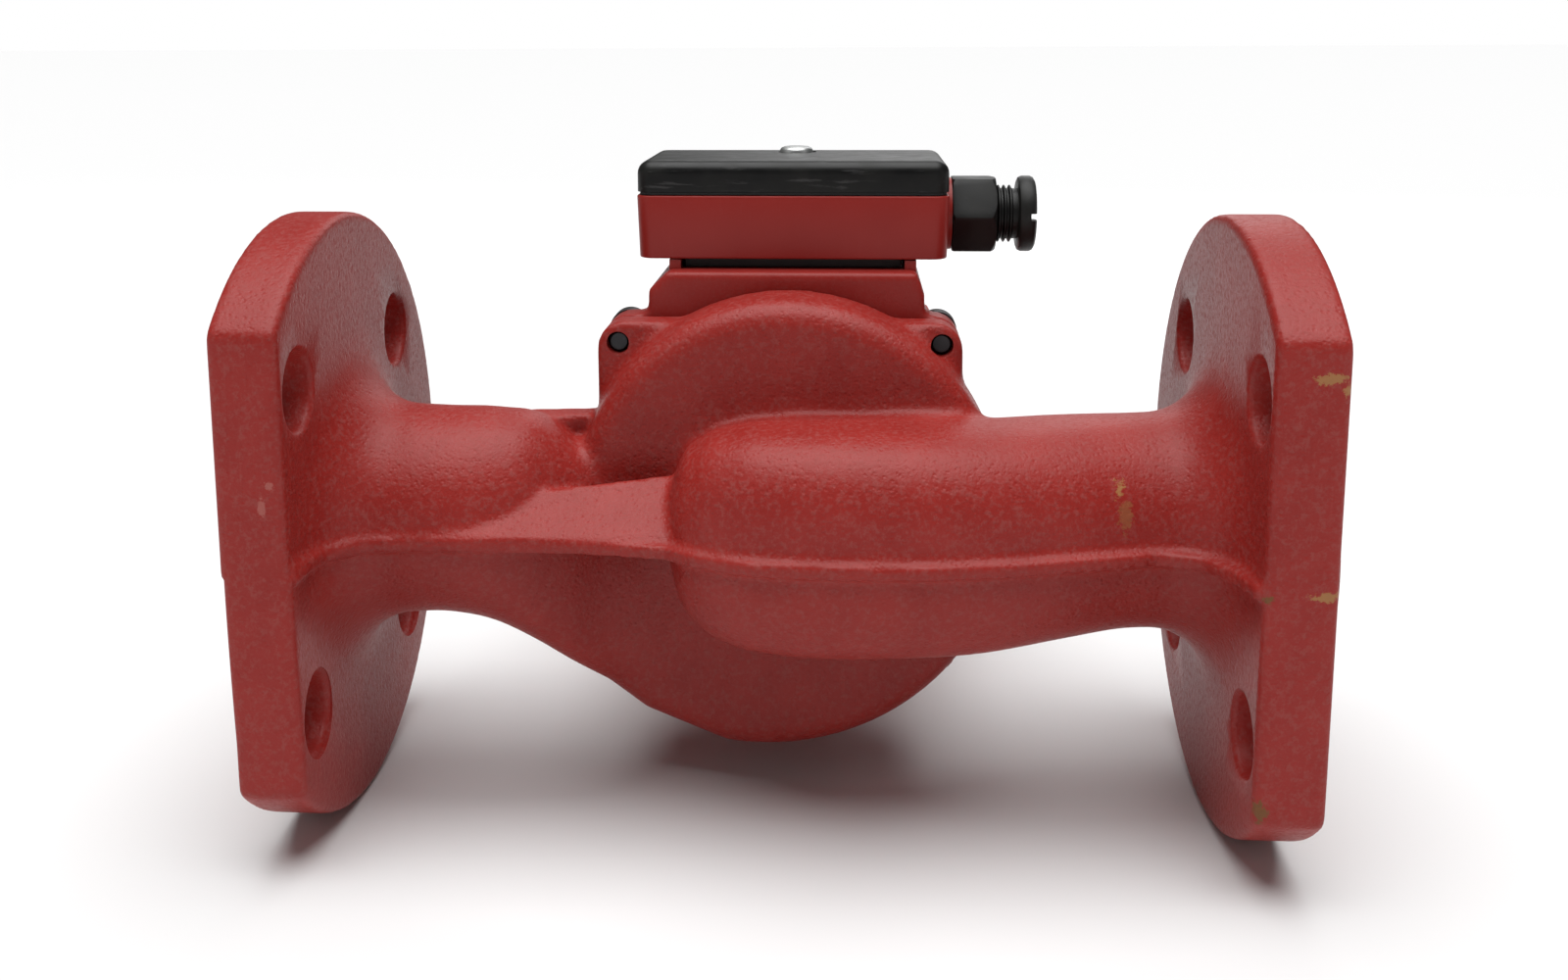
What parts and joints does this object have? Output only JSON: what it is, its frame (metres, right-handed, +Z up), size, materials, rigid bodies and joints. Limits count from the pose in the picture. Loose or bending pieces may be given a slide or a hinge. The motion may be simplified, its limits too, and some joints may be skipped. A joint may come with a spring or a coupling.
{
  "type": "circulator pump",
  "caption": "Flanged inline wet-rotor circulator pump with a cast spiral housing, a finned motor and a terminal box with a cable gland.",
  "frame": {"origin": "centre of the inlet port, on the inlet flange's sealing face", "axes": "+X out of the inlet along the pipe line, +Y along the motor shaft away from the pump housing, +Z up towards the terminal box"},
  "size_m": [0.25, 0.1954, 0.1626],
  "materials": {
    "cast_red": "red paint over sand-cast iron, semi-gloss, chipped at the flange edges",
    "motor_red": "red paint over die-cast aluminium, semi-gloss",
    "box_red": "smooth red paint, semi-gloss",
    "black_plastic": "moulded black plastic, slight gloss",
    "black_gland": "moulded black nylon, satin",
    "stainless": "drawn and turned stainless steel",
    "zinc_steel": "zinc-plated steel",
    "dark_steel": "blackened high-tensile steel",
    "laminations": "stacked electrical steel sheets",
    "copper_wire": null,
    "brass": "turned brass",
    "ceramic": "ground alumina",
    "carbon": "pressed carbon",
    "rubber": "black rubber",
    "terminal_plastic": "grey moulded plastic",
    "capacitor_plastic": "white plastic case",
    "lead_brown": "brown wire insulation",
    "lead_blue": "blue wire insulation",
    "lead_grey": "grey wire insulation",
    "plate_metal": "blank brushed plate"
  },
  "bodies": {
    "housing": {"pump_housing": "cast_red", "neck_ring": "stainless", "housing_seal": "rubber", "bearing_plate": "stainless", "front_bearing": "ceramic", "rotor_can": "stainless", "can_seal": "rubber", "rear_bearing": "ceramic", "rear_bearing_seat": "stainless", "stator_core": "laminations", "stator_winding": "copper_wire", "motor_housing": "motor_red", "nameplate": "plate_metal", "motor_bolt_1": "dark_steel", "motor_bolt_2": "dark_steel", "motor_bolt_3": "dark_steel", "motor_bolt_4": "dark_steel", "terminal_box_base": "box_red", "box_gasket": "rubber", "box_screw_1": "zinc_steel", "box_screw_2": "zinc_steel", "terminal_block": "terminal_plastic", "terminal_screw_1": "brass", "terminal_screw_2": "brass", "terminal_screw_3": "brass", "stator_lead_1": "lead_brown", "stator_lead_2": "lead_blue", "stator_lead_3": "lead_grey", "capacitor": "capacitor_plastic", "capacitor_clip": "zinc_steel", "earth_screw": "brass", "gland_body": "black_gland", "gland_seal": "rubber"},
    "rotor": {"impeller_front_shroud": "stainless", "impeller": "stainless", "impeller_nut": "stainless", "shaft": "stainless", "thrust_bearing": "carbon", "thrust_bearing_retainer": "stainless", "rotor_core": "laminations", "rotor_sleeve": "stainless"},
    "vent_carrier": {"vent_seal": "rubber"},
    "vent_screw_body": {"vent_screw": "brass"},
    "gland_carrier": {"gland_washer": "zinc_steel"},
    "gland_screw_body": {"gland_screw": "black_gland"},
    "cover": {"terminal_box_cover": "black_plastic", "cover_seal": "rubber"},
    "cover_screw_carrier": {"cover_screw_washer": "rubber"},
    "cover_screw_body": {"cover_screw": "zinc_steel"}
  },
  "joints": [
    {"name": "rotor_spin", "type": "hinge", "parent": "housing", "child": "rotor", "pos_m": [-0.125, 0.06, 0], "axis": [0, 1, 0], "continuous": true},
    {"name": "vent_screw_travel", "type": "slide", "parent": "housing", "child": "vent_carrier", "axis": [0, 1, 0], "range_m": [0, 0.01094]},
    {"name": "vent_screw_turn", "type": "hinge", "parent": "vent_carrier", "child": "vent_screw_body", "pos_m": [-0.125, 0.138, 0], "axis": [0, 1, 0], "range_deg": [0, 3150]},
    {"name": "gland_screw_travel", "type": "slide", "parent": "housing", "child": "gland_carrier", "axis": [1, 0, 0], "range_m": [-0.00337, 0.003]},
    {"name": "gland_screw_turn", "type": "hinge", "parent": "gland_carrier", "child": "gland_screw_body", "pos_m": [-0.06, 0.048, 0.0702], "axis": [1, 0, 0], "range_deg": [-810, 720]},
    {"name": "cover_lift", "type": "slide", "parent": "housing", "child": "cover", "axis": [0, 0, 1], "range_m": [0, 0.03]},
    {"name": "cover_screw_travel", "type": "slide", "parent": "cover", "child": "cover_screw_carrier", "axis": [0, 0, 1], "range_m": [0, 0.00898]},
    {"name": "cover_screw_turn", "type": "hinge", "parent": "cover_screw_carrier", "child": "cover_screw_body", "pos_m": [-0.1223, 0.06, 0.08], "axis": [0, 0, 1], "range_deg": [0, 4620]}
  ],
  "couplings": [
    {"joint": "vent_screw_turn", "follows": "vent_screw_travel", "rad_per_m": 5026.6},
    {"joint": "gland_screw_turn", "follows": "gland_screw_travel", "rad_per_m": 4188.8},
    {"joint": "cover_screw_turn", "follows": "cover_screw_travel", "rad_per_m": 8976}
  ]
}
